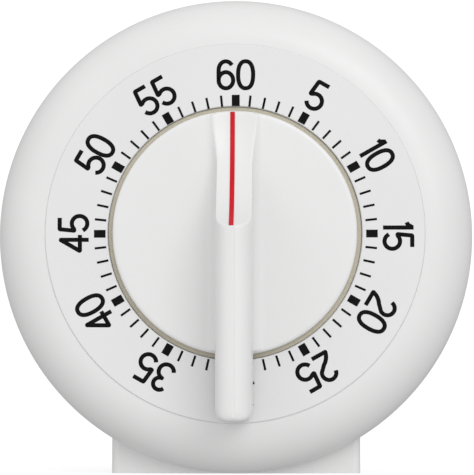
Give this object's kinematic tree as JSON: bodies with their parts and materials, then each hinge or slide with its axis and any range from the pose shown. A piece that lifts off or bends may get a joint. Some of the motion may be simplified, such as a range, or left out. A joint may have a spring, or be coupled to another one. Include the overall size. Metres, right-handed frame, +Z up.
{
  "type": "mechanical interval timer",
  "caption": "Round 60-minute mechanical bench timer on a small foot, with a printed dial ring, a bar-shaped turning knob and a wind-up movement with a bell.",
  "frame": {"origin": "centre of the foot's flat underside, where the timer stands", "axes": "+Z up the dial towards its 60 mark; -Y forward along the knob's axis, out of the dial; +X to the right as the dial is read"},
  "size_m": [0.101, 0.0633, 0.1012],
  "materials": {
    "case_white": "white moulded ABS, semi-gloss",
    "dial_white": "white moulded ABS with a satin printed face",
    "knob_white": "white moulded ABS, semi-gloss",
    "black_print": "black pad-printed ink",
    "pointer_red": "red paint, satin",
    "spacer_card": "beige fibre spacer",
    "plated_steel": "bright zinc-plated steel",
    "clock_brass": "stamped clock brass",
    "spring_steel": "blued spring steel",
    "bell_metal": "nickel-plated steel"
  },
  "bodies": {
    "timer_case": {"front_case": "case_white", "dial_ring": "dial_white", "dial_marks": "black_print", "spacer_ring": "spacer_card", "base_foot": "case_white", "foot_screws": "plated_steel", "rear_cover": "case_white", "cover_screws": "plated_steel", "front_plate": "clock_brass", "back_plate": "clock_brass", "plate_pillars": "clock_brass", "pillar_screws": "plated_steel", "movement_screws": "plated_steel", "arbor_bush": "clock_brass", "mainspring": "spring_steel", "spring_post": "plated_steel", "hairspring": "spring_steel", "hairspring_stud": "plated_steel", "bell": "bell_metal", "bell_post": "plated_steel", "bell_screw": "plated_steel"},
    "setting_knob": {"knob": "knob_white", "pointer_line": "pointer_red", "centre_arbor": "plated_steel", "great_wheel": "clock_brass", "ratchet_wheel": "plated_steel", "click": "plated_steel", "click_spring": "plated_steel", "let_off_cam": "clock_brass"},
    "second_train": {"second_arbor": "plated_steel", "second_wheel": "clock_brass"},
    "third_train": {"third_arbor": "plated_steel", "third_wheel": "clock_brass"},
    "escape_train": {"escape_arbor": "plated_steel", "escape_wheel": "clock_brass"},
    "balance": {"balance_staff": "plated_steel", "balance_wheel": "clock_brass"},
    "pallets": {"pallet_arbor": "plated_steel", "pallet_lever": "plated_steel"},
    "hammer": {"hammer_arbor": "plated_steel", "hammer_arm": "plated_steel", "hammer_head": "clock_brass"},
    "let_off": {"let_off_arbor": "plated_steel", "let_off_lever": "plated_steel"}
  },
  "joints": [
    {"name": "knob_turn", "type": "hinge", "parent": "timer_case", "child": "setting_knob", "pos_m": [0, -0.008, 0.0507], "axis": [0, 1, 0], "range_deg": [0, 360]},
    {"name": "second_spin", "type": "hinge", "parent": "timer_case", "child": "second_train", "pos_m": [0, -0.008, 0.0717], "axis": [0, 1, 0], "range_deg": [-2160, 0]},
    {"name": "third_spin", "type": "hinge", "parent": "timer_case", "child": "third_train", "pos_m": [-0.01365, -0.008, 0.06859], "axis": [0, 1, 0], "range_deg": [0, 12960]},
    {"name": "escape_spin", "type": "hinge", "parent": "timer_case", "child": "escape_train", "pos_m": [-0.01916, -0.008, 0.05904], "axis": [0, 1, 0], "range_deg": [-77760, 0]},
    {"name": "balance_swing", "type": "hinge", "parent": "timer_case", "child": "balance", "pos_m": [-0.02543, -0.008, 0.04346], "axis": [0, 1, 0], "range_deg": [-60, 60]},
    {"name": "pallet_rock", "type": "hinge", "parent": "timer_case", "child": "pallets", "pos_m": [-0.02387, -0.008, 0.05232], "axis": [0, 1, 0], "range_deg": [-5, 5]},
    {"name": "hammer_swing", "type": "hinge", "parent": "timer_case", "child": "hammer", "pos_m": [0.022, -0.008, 0.0307], "axis": [0, 1, 0], "range_deg": [0, 6]},
    {"name": "let_off_drop", "type": "hinge", "parent": "timer_case", "child": "let_off", "pos_m": [0.02, -0.008, 0.0415], "axis": [0, 1, 0], "range_deg": [0, 4]}
  ],
  "couplings": [
    {"joint": "second_spin", "follows": "knob_turn", "ratio": -6},
    {"joint": "third_spin", "follows": "knob_turn", "ratio": 36},
    {"joint": "escape_spin", "follows": "knob_turn", "ratio": -216},
    {"joint": "pallet_rock", "follows": "balance_swing", "ratio": -0.083333}
  ]
}
